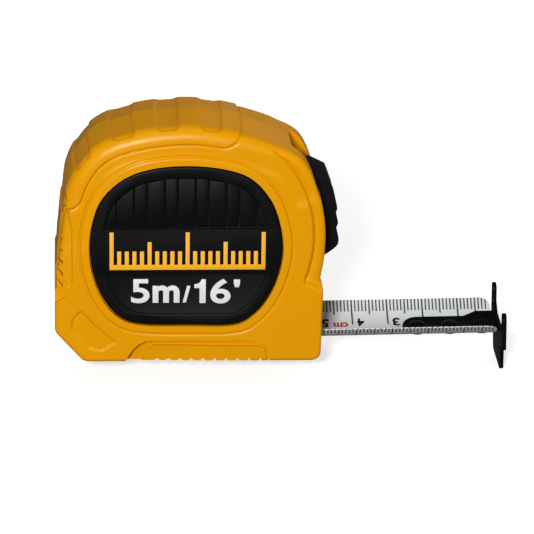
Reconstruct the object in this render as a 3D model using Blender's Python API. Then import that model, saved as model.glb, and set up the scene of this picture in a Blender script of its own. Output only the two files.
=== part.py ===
"""Pocket tape measure: 5 m / 16 ft steel blade in a two-piece moulded case."""
import math

import bmesh
import bpy
from mathutils import Vector

MM = 0.001

# Overall layout, millimetres.  X runs along the blade, Z is up, Y across the case.
# The mouth face is x = 0, the case's flat underside is z = 0, the seam is y = 0.
HALF_THICK = 15.5
SEAM = 0.15
GAP = 0.3
DRUM_X = -37.0
DRUM_Z = 36.0
HEEL_REAR = -73.9

# Blade
BLADE_RADIUS = 14.9
BLADE_HALF_ARC = math.radians(48.0)
BLADE_THICK = 0.3
BLADE_LOW = 2.45
BLADE_TILT = math.radians(0.95)
BLADE_REAR = -16.0
BLADE_TIP = 48.9
BLADE_CORNER = 2.6

# Hook
HOOK_FACE = 50.0
HOOK_PLATE = 1.0
HOOK_HALF_WIDTH = 14.3
HOOK_EAR_WIDTH = 4.0
HOOK_TOP = 9.1
HOOK_BAR_LOW = -1.2
HOOK_LIP_HALF = 8.6
HOOK_LIP_LOW = -9.0
TONGUE_LENGTH = 26.5
TONGUE_THICK = 0.8
TONGUE_HALF = 4.95
TONGUE_ROOT_HALF = 6.8
RIVET_SETBACK = (4.4, 13.4, 22.5)
RIVET_SHANK = 1.0
RIVET_HOLE = 1.35

# Case inside
CHAMBER_RADIUS = 27.0
CHAMBER_HALF = 13.0
CHANNEL_TOP = 11.2
CHANNEL_REAR = -65.0
RELIEF_HALF = 3.3

# Lock
SLOT_HALF = 6.9
SLOT_FLOOR = 34.2
LOCK_HALF = 6.5
STEM_HALF = 2.5
ARM_OUTER = 26.4
ARM_INNER = 23.4

# Drum
COIL_OUTER = 22.0
COIL_INNER = 14.2
COIL_HALF = 12.5
TUBE_OUTER = 13.9
TUBE_INNER = 12.4
SPINDLE_RADIUS = 3.5
SPRING_THICK = 0.5

# Badge
BADGE_OUT = 15.9
BADGE_BACK = 14.5

# Belt clip, on the far side
CLIP_HALF = 9.0
CLIP_THICK = 1.0
CLIP_FOOT = 16.2

# World origin: centre of the overall box, at its lowest point
HOOK_NOSE = 51.142
CLIP_BACK = 22.275
LIP_FOOT = -5.72
ORIGIN_X = (HEEL_REAR + HOOK_NOSE) / 2.0
ORIGIN_Y = (CLIP_BACK - BADGE_OUT) / 2.0
ORIGIN_Z = LIP_FOOT


def clear_scene():
    for item in list(bpy.data.objects):
        bpy.data.objects.remove(item, do_unlink=True)


def make_material(name, colour, roughness, metallic):
    mat = bpy.data.materials.new(name)
    mat.use_nodes = True
    shader = mat.node_tree.nodes["Principled BSDF"]
    shader.inputs["Base Color"].default_value = (colour[0], colour[1], colour[2], 1.0)
    shader.inputs["Roughness"].default_value = roughness
    shader.inputs["Metallic"].default_value = metallic
    mat.diffuse_color = (colour[0], colour[1], colour[2], 1.0)
    return mat


def world(x, y, z):
    return Vector(((x - ORIGIN_X) * MM, (y - ORIGIN_Y) * MM, (z - ORIGIN_Z) * MM))


def on_blade(s, y, h):
    """Point at distance s from the mouth along the blade, height h above its low line."""
    c = math.cos(BLADE_TILT)
    n = math.sin(BLADE_TILT)
    return (s * c - h * n, y, BLADE_LOW + s * n + h * c)


def finish_mesh(name, bm, mat):
    bmesh.ops.remove_doubles(bm, verts=bm.verts, dist=1e-6)
    bmesh.ops.recalc_face_normals(bm, faces=bm.faces)
    bmesh.ops.triangulate(bm, faces=bm.faces)
    mesh = bpy.data.meshes.new(name)
    bm.to_mesh(mesh)
    bm.free()
    obj = bpy.data.objects.new(name, mesh)
    bpy.context.scene.collection.objects.link(obj)
    if mat is not None:
        mesh.materials.append(mat)
    return obj


def loft(name, loops, mat, closed=False):
    """Skin a stack of equal loops of (x, y, z) points and cap both ends."""
    bm = bmesh.new()
    rings = []
    for loop in loops:
        rings.append([bm.verts.new(world(*point)) for point in loop])
    count = len(rings[0])
    pairs = list(zip(rings[:-1], rings[1:]))
    if closed:
        pairs.append((rings[-1], rings[0]))
    for lower, upper in pairs:
        for i in range(count):
            j = (i + 1) % count
            bm.faces.new((lower[i], lower[j], upper[j], upper[i]))
    if not closed:
        bm.faces.new(list(reversed(rings[0])))
        bm.faces.new(rings[-1])
    return finish_mesh(name, bm, mat)


def prism(name, outline, y0, y1, mat=None):
    """Outline of (x, z) points extruded across the case."""
    return loft(name, [[(x, y0, z) for x, z in outline], [(x, y1, z) for x, z in outline]], mat)


def circle(x, z, radius, segments):
    points = []
    for i in range(segments):
        a = 2.0 * math.pi * i / segments
        points.append((x + radius * math.cos(a), z + radius * math.sin(a)))
    return points


def polar(radius, degrees):
    a = math.radians(degrees)
    return (DRUM_X + radius * math.cos(a), DRUM_Z + radius * math.sin(a))


def arc(radius, start, stop, segments):
    return [polar(radius, start + (stop - start) * i / segments) for i in range(segments + 1)]


def rounded(corners, segments=4):
    """Closed outline with each (x, z, radius) corner rounded off."""
    points = []
    count = len(corners)
    for i in range(count):
        before = Vector(corners[i - 1][:2])
        here = Vector(corners[i][:2])
        after = Vector(corners[(i + 1) % count][:2])
        radius = corners[i][2]
        if radius <= 0.0:
            points.append((here.x, here.y))
            continue
        back = (before - here).normalized()
        ahead = (after - here).normalized()
        half = back.angle(ahead) / 2.0
        reach = radius / math.tan(half)
        centre = here + (back + ahead).normalized() * (radius / math.sin(half))
        first = here + back * reach - centre
        last = here + ahead * reach - centre
        turn = math.atan2(first.x * last.y - first.y * last.x, first.dot(last))
        for k in range(segments + 1):
            a = turn * k / segments
            x = first.x * math.cos(a) - first.y * math.sin(a)
            z = first.x * math.sin(a) + first.y * math.cos(a)
            points.append((centre.x + x, centre.y + z))
    return points


def spline(knots, steps, closed=False):
    """Smooth curve through knots of any width."""
    result = []
    count = len(knots)
    spans = count if closed else count - 1
    for i in range(spans):
        p1 = knots[i]
        p2 = knots[(i + 1) % count]
        p0 = knots[i - 1] if (closed or i > 0) else p1
        p3 = knots[(i + 2) % count] if (closed or i + 2 < count) else p2
        for k in range(steps):
            t = k / steps
            point = []
            for a, b, c, d in zip(p0, p1, p2, p3):
                point.append(0.5 * (2 * b + (c - a) * t + (2 * a - 5 * b + 4 * c - d) * t * t
                                    + (3 * b - a - 3 * c + d) * t ** 3))
            result.append(tuple(point))
    if not closed:
        result.append(tuple(knots[-1]))
    return result


def triangulate(obj):
    bm = bmesh.new()
    bm.from_mesh(obj.data)
    bmesh.ops.remove_doubles(bm, verts=bm.verts, dist=2e-6)
    bmesh.ops.triangulate(bm, faces=bm.faces)
    bm.to_mesh(obj.data)
    bm.free()


def cut(body, cutter):
    mod = body.modifiers.new("cut", "BOOLEAN")
    mod.operation = "DIFFERENCE"
    mod.solver = "EXACT"
    mod.object = cutter
    cutter.hide_render = True
    cutter.display_type = "WIRE"
    bpy.context.view_layer.objects.active = body
    bpy.ops.object.modifier_apply(modifier=mod.name)
    bpy.data.objects.remove(cutter, do_unlink=True)


def smooth(obj, degrees=35.0):
    mesh = obj.data
    for face in mesh.polygons:
        face.use_smooth = True
    mesh.set_sharp_from_angle(angle=math.radians(degrees))


# Case


def case_outline():
    """Side outline of the case as (x, z, edge rounding, crown fall) points."""
    crown = [
        (-73.5, 30.0, 2.2, 0.2), (-73.3, 38.0, 3.0, 0.3), (-72.2, 46.5, 3.6, 0.5),
        (-69.8, 54.5, 4.0, 0.8), (-65.6, 60.8, 4.0, 1.0), (-59.6, 64.9, 4.0, 1.0),
        (-49.5, 67.8, 4.0, 1.0), (-37.5, 68.9, 4.0, 1.0), (-27.5, 67.8, 4.0, 1.0),
        (-18.5, 65.3, 4.0, 0.9), (-11.8, 62.2, 3.2, 0.6), (-6.4, 58.6, 2.6, 0.2),
        (-3.4, 53.6, 2.2, 0.0), (-1.2, 46.5, 2.0, 0.0), (0.1, 38.5, 2.0, 0.0),
        (0.0, 30.5, 2.0, 0.0), (-1.1, 23.6, 1.8, 0.0),
    ]
    points = spline(crown, 3)
    toe = rounded([(-1.4, 22.9, 0.0), (-0.2, 20.6, 1.8), (-0.6, 0.0, 2.6), (-5.0, 0.0, 0.0)], 4)
    points += [(x, z, 1.0, 0.0) for x, z in toe[1:-1]]
    points += [(x, 0.0, 1.2, 0.0) for x in (-14.0, -26.0, -40.0, -56.0)]
    heel = rounded([(-56.0, 0.0, 0.0), (-66.0, 0.0, 3.0), (HEEL_REAR, 8.8, 3.0),
                    (HEEL_REAR, 26.8, 1.6), (-73.2, 28.6, 0.0)], 3)
    points += [(x, z, 1.0, 0.0) for x, z in heel[1:]]
    return points


def case_loops(side):
    points = case_outline()
    count = len(points)
    loops = []
    normals = []
    for i in range(count):
        before = Vector(points[i - 1][:2])
        after = Vector(points[(i + 1) % count][:2])
        along = (after - before).normalized()
        normals.append(Vector((along.y, -along.x)))
    loops.append([(p[0], side * SEAM, p[1]) for p in points])
    for step in range(6):
        a = math.radians(90.0) * step / 5.0
        loop = []
        for p, n in zip(points, normals):
            inset = p[3] + p[2] * (1.0 - math.cos(a))
            y = HALF_THICK - p[2] + p[2] * math.sin(a)
            loop.append((p[0] + n.x * inset, side * y, p[1] + n.y * inset))
        loops.append(loop)
    return loops


def channel_cutter(low, half, top, rear, front):
    """Trough along the blade that follows its dished section."""
    section = []
    radius = BLADE_RADIUS + low
    reach = math.asin(min(1.0, half / radius))
    for i in range(13):
        a = -reach + 2.0 * reach * i / 12.0
        section.append((radius * math.sin(a), BLADE_RADIUS - radius * math.cos(a)))
    section.append((half, top))
    section.append((-half, top))
    return loft("cutter", [[on_blade(rear, y, h) for y, h in section],
                           [on_blade(front, y, h) for y, h in section]], None)


def box_along_blade(half, low, top, rear, front):
    section = [(-half, low), (half, low), (half, top), (-half, top)]
    return loft("cutter", [[on_blade(rear, y, h) for y, h in section],
                           [on_blade(front, y, h) for y, h in section]], None)


def slot_outline():
    rear = [(-9.7, 61.0), (-7.0, 70.0)]
    return arc(SLOT_FLOOR, -27.5, 29.5, 14) + rear + [polar(52.0, 20.0), polar(50.0, -27.5)]


def badge_outline(grow):
    knots = [
        (-37.9, 56.8), (-47.6, 55.9), (-55.2, 52.9), (-60.9, 47.2), (-63.5, 40.0), (-64.2, 32.8),
        (-63.3, 25.6), (-60.6, 18.6), (-56.2, 13.4), (-50.0, 11.2), (-37.4, 10.9), (-25.0, 11.0),
        (-19.4, 14.0), (-15.4, 19.2), (-12.7, 25.8), (-11.6, 33.0), (-12.5, 40.2), (-15.2, 47.2),
        (-20.6, 53.2), (-28.2, 55.9),
    ]
    points = spline(knots, 3, closed=True)
    result = []
    for i in range(len(points)):
        along = (Vector(points[(i + 1) % len(points)]) - Vector(points[i - 1])).normalized()
        result.append((points[i][0] + along.y * grow, points[i][1] - along.x * grow))
    return result


SCREWS = ((-5.2, 15.6), (-67.4, 12.0), (-61.0, 55.0), (-17.0, 58.4))


def build_shell(name, mat):
    """Near half of the case, with every feature the two halves share."""
    side = -1.0
    shell = loft(name, case_loops(side), mat)
    chamber = circle(DRUM_X, DRUM_Z, CHAMBER_RADIUS, 48)
    cut(shell, prism("cutter", chamber, -CHAMBER_HALF, CHAMBER_HALF))
    cut(shell, channel_cutter(0.55, 12.3, CHANNEL_TOP - BLADE_LOW, CHANNEL_REAR, 4.0))
    cut(shell, box_along_blade(RELIEF_HALF, -1.15, 2.0, -40.0, 4.0))
    cut(shell, prism("cutter", slot_outline(), -SLOT_HALF, SLOT_HALF))
    window = arc(24.0, -16.0, 9.0, 5) + arc(36.0, 9.0, -16.0, 5)
    cut(shell, prism("cutter", window, -STEM_HALF - GAP, STEM_HALF + GAP))
    arm_room = arc(22.6, -78.0, 16.0, 16) + arc(ARM_OUTER + 0.7, 16.0, -78.0, 16)
    cut(shell, prism("cutter", arm_room, -9.4, 9.4))
    cut(shell, prism("cutter", badge_outline(GAP), side * (BADGE_BACK - GAP), side * 20.0))
    cheek = arc(33.5, -22.0, 47.0, 16) + arc(34.4, 47.0, -22.0, 16)
    cut(shell, prism("cutter", cheek, side * 14.7, side * 20.0))
    cut_grip(shell, side)
    for x, z in SCREWS:
        cut(shell, prism("cutter", circle(x, z, 1.55, 14), -8.4, 2.0))
    smooth(shell)
    return shell


def build_far_shell(mat):
    """Mirror of the near half, drilled right through for the screws."""
    shell = build_shell("far_shell", mat)
    for vert in shell.data.vertices:
        vert.co.y = -vert.co.y - 2.0 * ORIGIN_Y * MM
    shell.data.flip_normals()
    triangulate(shell)
    for x, z in SCREWS:
        cut(shell, prism("cutter", circle(x, z, 1.7, 14), 7.0, 14.0))
        cut(shell, prism("cutter", circle(x, z, 2.9, 20), 11.0, 20.0))
    cut(shell, prism("cutter", circle(DRUM_X, 50.0, 1.55, 14), 12.0, 20.0))
    smooth(shell)
    return shell


def cut_grip(shell, side):
    """Shallow hollow with scallops along the lower edge, for the fingers."""
    loops = []
    for x, root, top in ((-55.0, 15.0, 2.0), (-49.0, 13.9, 6.1), (-20.0, 13.9, 6.1), (-14.5, 15.0, 2.0)):
        section = [(root, -0.5), (17.0, -0.5), (17.0, top), (root + 0.12 * top, top)]
        loops.append([(x, side * y, z) for y, z in section])
    cut(shell, loft("cutter", loops, None))
    for i in range(9):
        notch = circle(-47.5 + 3.55 * i, 0.0, 1.05, 12)
        cut(shell, prism("cutter", notch, side * 12.6, side * 20.0))


def build_badge(side, name, mat):
    loops = []
    for shrink, depth in ((0.0, BADGE_BACK), (0.0, BADGE_OUT - 0.4), (0.5, BADGE_OUT)):
        loops.append([(x, side * depth, z) for x, z in badge_outline(-shrink)])
    badge = loft(name, loops, mat)
    if side > 0:
        cut(badge, prism("cutter", circle(DRUM_X, 50.0, 1.55, 14), 12.0, 20.0))
    smooth(badge)
    return badge


def build_screw(name, x, z, mat):
    """Countersunk case screw with a cross recess."""
    loops = []
    for radius, y in ((1.25, -8.0), (1.25, 11.4), (2.5, 11.9), (2.5, 12.9), (2.2, 13.2)):
        loops.append([(px, y, pz) for px, pz in circle(x, z, radius, 16)])
    screw = loft(name, loops, mat)
    for w, h in ((1.5, 0.3), (0.3, 1.5)):
        blade = [(x - w, z - h), (x + w, z - h), (x + w, z + h), (x - w, z + h)]
        cut(screw, prism("cutter", blade, 12.5, 15.0))
    smooth(screw)
    return screw


def build_spindle(mat):
    loops = []
    for radius, y in ((4.6, -12.7), (4.6, -12.0), (SPINDLE_RADIUS, -12.0), (SPINDLE_RADIUS, 12.7)):
        loops.append([(px, y, pz) for px, pz in circle(DRUM_X, DRUM_Z, radius, 24)])
    spindle = loft("spindle", loops, mat)
    smooth(spindle)
    return spindle


def build_mouth_guide(mat):
    outline = rounded([(-8.4, 8.6, 0.5), (-8.4, 10.9, 0.5), (-0.9, 10.9, 0.5), (-0.9, 8.6, 0.9)], 3)
    guide = prism("mouth_guide", outline, -11.9, 11.9, mat)
    smooth(guide)
    return guide


# Belt clip


def build_clip(mat):
    """Bent spring-steel strap: foot on the case, fold at the top, tongue hanging down."""
    path = [(CLIP_FOOT, 41.0), (CLIP_FOOT, 50.0), (CLIP_FOOT, 57.5), (17.4, 60.6), (19.8, 61.3),
            (21.8, 58.9), (22.2, 52.0), (22.2, 30.0), (21.4, 20.0), (20.7, 15.0), (21.0, 12.4), (22.1, 10.2)]
    path = spline(path, 2)
    loops = []
    for i, (y, z) in enumerate(path):
        before = Vector(path[max(0, i - 1)])
        after = Vector(path[min(len(path) - 1, i + 1)])
        along = (after - before).normalized()
        out = Vector((-along.y, along.x))
        half = CLIP_HALF if z > 20.0 else CLIP_HALF - (20.0 - z) * 0.12
        a = Vector((y, z))
        b = a - out * CLIP_THICK
        loops.append([(DRUM_X - half, a.x, a.y), (DRUM_X + half, a.x, a.y),
                      (DRUM_X + half, b.x, b.y), (DRUM_X - half, b.x, b.y)])
    clip = loft("belt_clip", loops, mat)
    cut(clip, prism("cutter", circle(DRUM_X, 50.0, 1.55, 14), 12.0, 18.6))
    smooth(clip)
    return clip


def build_clip_screw(mat):
    loops = []
    for radius, y in ((1.25, 14.0), (1.25, 17.5), (2.7, 17.5), (2.7, 18.3), (2.0, 19.0)):
        loops.append([(px, y, pz) for px, pz in circle(DRUM_X, 50.0, radius, 18)])
    screw = loft("belt_clip_screw", loops, mat)
    smooth(screw)
    return screw


# Drum


def build_drum(mat):
    """Cup that carries the coil and holds the spring."""
    drum = loft("drum", [
        [(x, -12.4, z) for x, z in circle(DRUM_X, DRUM_Z, TUBE_OUTER, 40)],
        [(x, 12.4, z) for x, z in circle(DRUM_X, DRUM_Z, TUBE_OUTER, 40)]], mat)
    cut(drum, prism("cutter", circle(DRUM_X, DRUM_Z, TUBE_INNER, 40), -11.4, 20.0))
    cut(drum, prism("cutter", circle(DRUM_X, DRUM_Z, 5.0, 24), -20.0, 20.0))
    smooth(drum)
    return drum


def build_drum_cap(mat):
    loops = []
    for radius, y in ((TUBE_INNER - GAP, 11.6), (TUBE_INNER - GAP, 12.4)):
        loops.append([(x, y, z) for x, z in circle(DRUM_X, DRUM_Z, radius, 36)])
    cap = loft("drum_cap", loops, mat)
    cut(cap, prism("cutter", circle(DRUM_X, DRUM_Z, SPINDLE_RADIUS + GAP, 24), 10.0, 14.0))
    smooth(cap)
    return cap


def build_mainspring(mat):
    """Coiled strip between the spindle and the drum wall."""
    turns = 5.0
    per_turn = 18
    inner = []
    outer = []
    total = int(turns * per_turn)
    for i in range(total + 1):
        a = 2.0 * math.pi * i / per_turn
        radius = SPINDLE_RADIUS + 0.5 + (TUBE_INNER - SPINDLE_RADIUS - 1.6) * i / total
        inner.append((DRUM_X + radius * math.cos(a), DRUM_Z + radius * math.sin(a)))
        radius += SPRING_THICK
        outer.append((DRUM_X + radius * math.cos(a), DRUM_Z + radius * math.sin(a)))
    loops = []
    for a, b in zip(inner, outer):
        loops.append([(a[0], -11.0, a[1]), (b[0], -11.0, b[1]), (b[0], 11.2, b[1]), (a[0], 11.2, a[1])])
    spring = loft("mainspring", loops, mat)
    smooth(spring)
    return spring


def build_coil(mat):
    """Wound blade: a ring whose outer lap ends in a step."""
    outer = circle(DRUM_X, DRUM_Z, COIL_OUTER, 48)
    coil = prism("blade_coil", outer, -COIL_HALF, COIL_HALF, mat)
    cut(coil, prism("cutter", circle(DRUM_X, DRUM_Z, COIL_INNER, 40), -20.0, 20.0))
    smooth(coil)
    return coil


# Blade and hook


def dished(radius, degrees_half, steps, s, drop=0.0):
    points = []
    for i in range(steps + 1):
        a = -degrees_half + 2.0 * degrees_half * i / steps
        points.append(on_blade(s, radius * math.sin(a), BLADE_RADIUS - radius * math.cos(a) + drop))
    return points


def dished_strip(name, stations, inner, outer, mat):
    """Strip bent to the blade's curve; stations give (s, half arc)."""
    steps = 14
    loops = []
    for s, half in stations:
        top = dished(inner, half, steps, s)
        low = dished(outer, half, steps, s)
        loops.append(top + list(reversed(low)))
    return loft(name, loops, mat)


def tip_stations(end, half, radius_mm, curve_radius, direction, steps=4):
    """Stations that round off both corners of a dished strip's end."""
    result = []
    for k in range(steps + 1):
        a = math.radians(90.0) * k / steps
        s = end - direction * radius_mm * (1.0 - math.sin(a))
        trim = radius_mm * (1.0 - math.cos(a))
        result.append((s, half - trim / curve_radius))
    return result


def rivet_hole(s, radius, slot=0.0):
    loops = []
    for h in (-3.0, 6.0):
        loop = []
        for i in range(16):
            a = 2.0 * math.pi * i / 16
            shift = slot if math.cos(a) > 0 else -slot
            loop.append(on_blade(s + shift + radius * math.cos(a), radius * math.sin(a), h))
        loops.append(loop)
    return loft("cutter", loops, None)


def build_blade(mat):
    half = BLADE_HALF_ARC
    stations = [(BLADE_REAR, half)]
    stations += tip_stations(BLADE_TIP, half, BLADE_CORNER, BLADE_RADIUS, 1.0)
    inner = BLADE_RADIUS - BLADE_THICK / 2.0
    blade = dished_strip("blade", stations, inner, inner + BLADE_THICK, mat)
    for setback in RIVET_SETBACK:
        cut(blade, rivet_hole(HOOK_FACE - setback, RIVET_HOLE))
    smooth(blade)
    return blade


def build_hook(mat):
    """Riveted tongue and upright plate of the end hook."""
    w = HOOK_HALF_WIDTH
    ear = HOOK_EAR_WIDTH
    lip = HOOK_LIP_HALF
    right = [(w, HOOK_TOP, 1.7), (w, HOOK_BAR_LOW, 0.9), (lip + 0.8, HOOK_BAR_LOW, 0.5),
             (lip, HOOK_LIP_LOW, 1.4)]
    left = [(-y, h, r) for y, h, r in reversed(right)]
    notch = [(-w + ear, HOOK_TOP, 1.7), (-w + ear, 4.4, 1.0), (-7.0, 2.0, 1.0), (7.0, 2.0, 1.0),
             (w - ear, 4.4, 1.0), (w - ear, HOOK_TOP, 1.7)]
    outline = rounded(right + left + notch, 4)
    plate = loft("hook", [[on_blade(HOOK_FACE, y, h) for y, h in outline],
                          [on_blade(HOOK_FACE + HOOK_PLATE, y, h) for y, h in outline]], mat)
    outer = BLADE_RADIUS - BLADE_THICK / 2.0 - GAP
    inner = outer - TONGUE_THICK
    small = TONGUE_HALF / inner
    wide = TONGUE_ROOT_HALF / inner
    end = HOOK_FACE - TONGUE_LENGTH
    stations = [(HOOK_FACE + 0.5, wide), (HOOK_FACE - 5.5, wide), (HOOK_FACE - 9.0, small)]
    stations += list(tip_stations(end, small, 4.0, inner, -1.0))
    tongue = dished_strip("tongue", stations, inner, outer, mat)
    join(plate, tongue)
    for setback in RIVET_SETBACK:
        cut(plate, rivet_hole(HOOK_FACE - setback, RIVET_HOLE, 0.5))
    smooth(plate)
    return plate


def join(body, extra):
    mod = body.modifiers.new("join", "BOOLEAN")
    mod.operation = "UNION"
    mod.solver = "EXACT"
    mod.object = extra
    bpy.context.view_layer.objects.active = body
    bpy.ops.object.modifier_apply(modifier=mod.name)
    bpy.data.objects.remove(extra, do_unlink=True)


def build_rivet(index, mat):
    """Domed head above the tongue, shank through blade, flat head below."""
    s = HOOK_FACE - RIVET_SETBACK[index]
    over = BLADE_THICK / 2.0 + GAP + TONGUE_THICK
    under = -BLADE_THICK / 2.0
    profile = [(1.8, under - 0.52), (2.05, under - 0.42), (2.05, under - 0.16), (RIVET_SHANK, under - 0.16),
               (RIVET_SHANK, over + 0.3), (2.35, over + 0.45), (2.35, over + 0.6), (1.9, over + 1.0),
               (1.0, over + 1.25)]
    loops = []
    for radius, h in profile:
        loop = []
        for i in range(18):
            a = 2.0 * math.pi * i / 18
            loop.append(on_blade(s + radius * math.cos(a), radius * math.sin(a), h))
        loops.append(loop)
    rivet = loft("rivet_%d" % (index + 1), loops, mat)
    smooth(rivet)
    return rivet


# Lock


def build_lock_button(mat):
    """Thumb slide on the front of the case with three finger bumps and a stem."""
    back = arc(SLOT_FLOOR + GAP, 27.0, -15.0, 12)
    front = [(-0.9, 27.3), (1.0, 28.2), (3.0, 29.7), (4.2, 31.1), (4.3, 33.0), (3.6, 35.4), (4.1, 37.4),
             (3.4, 39.8), (3.8, 41.7), (2.95, 44.6), (2.7, 45.6), (1.1, 49.9), (0.4, 50.7), (-3.6, 52.7)]
    outline = back + front
    centre = Vector((0.5, 40.0))
    loops = []
    for y, shrink in ((-LOCK_HALF, 0.5), (-LOCK_HALF + 0.5, 0.0), (LOCK_HALF - 0.5, 0.0), (LOCK_HALF, 0.5)):
        loop = []
        for x, z in outline:
            away = Vector((x, z)) - centre
            out = math.hypot(x - DRUM_X, z - DRUM_Z) > SLOT_FLOOR + 1.0
            move = away.normalized() * shrink if out else Vector((0.0, 0.0))
            loop.append((x - move.x, y, z - move.y))
        loops.append(loop)
    button = loft("lock_button", loops, mat)
    stem = arc(ARM_OUTER + GAP, 0.5, 7.5, 3) + arc(SLOT_FLOOR + 1.0, 7.5, 0.5, 3)
    join(button, prism("stem", stem, -STEM_HALF, STEM_HALF))
    smooth(button)
    return button


def build_lock_arm(mat):
    """Curved brake arm behind the front wall, reaching down to the blade."""
    outline = arc(ARM_OUTER, 14.0, -58.0, 14) + arc(ARM_INNER, -58.0, 14.0, 14)
    arm = prism("lock_arm", outline, -9.0, 9.0, mat)
    smooth(arm)
    return arm


def main():
    clear_scene()
    yellow_near = make_material("case_yellow_near", (0.80, 0.38, 0.01), 0.38, 0.0)
    yellow_far = make_material("case_yellow_far", (0.80, 0.38, 0.01), 0.38, 0.0)
    build_shell("near_shell", yellow_near)
    build_far_shell(yellow_far)
    build_badge(-1.0, "near_badge", make_material("badge_black_near", (0.012, 0.012, 0.014), 0.55, 0.0))
    build_badge(1.0, "far_badge", make_material("badge_black_far", (0.012, 0.012, 0.014), 0.55, 0.0))
    for i, (x, z) in enumerate(SCREWS):
        build_screw("case_screw_%d" % (i + 1), x, z,
                    make_material("screw_zinc_%d" % (i + 1), (0.45, 0.45, 0.46), 0.32, 1.0))
    build_spindle(make_material("spindle_plastic", (0.03, 0.03, 0.03), 0.5, 0.0))
    build_mouth_guide(make_material("guide_rubber", (0.015, 0.015, 0.015), 0.7, 0.0))
    build_clip(make_material("clip_steel", (0.05, 0.05, 0.055), 0.35, 1.0))
    build_clip_screw(make_material("clip_screw_zinc", (0.45, 0.45, 0.46), 0.3, 1.0))
    build_drum(make_material("drum_plastic", (0.04, 0.04, 0.045), 0.5, 0.0))
    build_drum_cap(make_material("cap_plastic", (0.04, 0.04, 0.045), 0.5, 0.0))
    build_mainspring(make_material("spring_steel", (0.2, 0.2, 0.22), 0.3, 1.0))
    build_coil(make_material("coil_paint", (0.72, 0.72, 0.70), 0.4, 0.0))
    build_blade(make_material("blade_paint", (0.80, 0.80, 0.78), 0.35, 0.0))
    hook_paint = make_material("hook_black", (0.015, 0.015, 0.017), 0.3, 0.4)
    build_hook(hook_paint)
    for i in range(3):
        build_rivet(i, make_material("rivet_black_%d" % (i + 1), (0.02, 0.02, 0.022), 0.3, 0.6))
    build_lock_button(make_material("lock_black", (0.012, 0.012, 0.014), 0.6, 0.0))
    build_lock_arm(make_material("arm_plastic", (0.05, 0.05, 0.05), 0.5, 0.0))


main()
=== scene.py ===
import math

import bpy
from mathutils import Matrix, Vector


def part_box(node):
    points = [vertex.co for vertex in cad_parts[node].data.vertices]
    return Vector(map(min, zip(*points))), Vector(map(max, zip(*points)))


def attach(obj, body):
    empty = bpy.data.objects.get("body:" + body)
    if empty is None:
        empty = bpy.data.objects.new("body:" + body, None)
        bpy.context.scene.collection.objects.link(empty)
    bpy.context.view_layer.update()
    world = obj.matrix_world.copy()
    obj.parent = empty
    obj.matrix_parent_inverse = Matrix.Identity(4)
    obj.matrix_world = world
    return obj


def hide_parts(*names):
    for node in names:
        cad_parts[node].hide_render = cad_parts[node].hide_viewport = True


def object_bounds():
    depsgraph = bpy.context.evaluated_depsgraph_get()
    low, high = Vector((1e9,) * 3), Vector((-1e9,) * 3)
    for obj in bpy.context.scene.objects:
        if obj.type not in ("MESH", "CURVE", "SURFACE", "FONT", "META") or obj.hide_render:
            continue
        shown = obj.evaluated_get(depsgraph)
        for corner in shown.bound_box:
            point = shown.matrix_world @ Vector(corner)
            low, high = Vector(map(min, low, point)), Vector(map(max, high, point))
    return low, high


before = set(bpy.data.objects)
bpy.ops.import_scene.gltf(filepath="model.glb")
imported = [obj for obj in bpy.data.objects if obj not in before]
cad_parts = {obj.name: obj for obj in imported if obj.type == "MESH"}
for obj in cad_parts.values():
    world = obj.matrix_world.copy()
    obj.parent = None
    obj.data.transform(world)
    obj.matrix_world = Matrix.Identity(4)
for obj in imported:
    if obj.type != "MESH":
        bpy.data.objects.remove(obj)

cadLow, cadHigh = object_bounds()

mm = 0.001
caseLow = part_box("near_shell")[0]
caseLong = 73.9         # from the rear of the case to the mouth face, mm
seamY = (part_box("near_badge")[0].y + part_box("far_badge")[1].y) / 2
mouth = Vector((caseLow.x + caseLong * mm, seamY, caseLow.z))       # everything below is measured from here
drumX, drumZ = -37.0, 36.0      # reel axis, mm from the mouth
halfThick = 15.5        # from the seam to the flat of the side
seamGap = 0.02
screwPlaces = [(-5.2, 15.6), (-67.4, 12.0), (-61.0, 55.0), (-17.0, 58.4)]
outside = -16.6         # cutters start here, beyond the near side


def place(x, y, z):
    return mouth + Vector((x, y, z)) * mm


def deselect():
    if bpy.context.object and bpy.context.object.mode != "OBJECT":
        bpy.ops.object.mode_set(mode="OBJECT")
    bpy.ops.object.select_all(action="DESELECT")


def pick(obj):
    deselect()
    obj.select_set(True)
    bpy.context.view_layer.objects.active = obj


def applyAll(obj):
    pick(obj)
    for modifier in list(obj.modifiers):
        bpy.ops.object.modifier_apply(modifier=modifier.name)


def freeze(obj):
    pick(obj)       # its place goes into its mesh
    bpy.ops.object.transform_apply(location=True, rotation=True, scale=True)


def smooth(obj, degrees=35):
    pick(obj)
    bpy.ops.object.shade_smooth_by_angle(angle=math.radians(degrees))


def tidyNormals(obj, merge=0.000001):
    pick(obj)
    bpy.ops.object.mode_set(mode="EDIT")
    bpy.ops.mesh.select_all(action="SELECT")
    bpy.ops.mesh.remove_doubles(threshold=merge)
    bpy.ops.mesh.normals_make_consistent(inside=False)
    bpy.ops.object.mode_set(mode="OBJECT")


def triangulate(obj):
    pick(obj)
    bpy.ops.object.mode_set(mode="EDIT")
    bpy.ops.mesh.select_all(action="SELECT")
    bpy.ops.mesh.quads_convert_to_tris()
    bpy.ops.object.mode_set(mode="OBJECT")


def bevel(obj, width, segments=3, degrees=30):
    modifier = obj.modifiers.new("edge", "BEVEL")
    modifier.width = width * mm
    modifier.segments = segments
    modifier.limit_method = "ANGLE"
    modifier.angle_limit = math.radians(degrees)
    modifier.use_clamp_overlap = True
    applyAll(obj)


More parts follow.
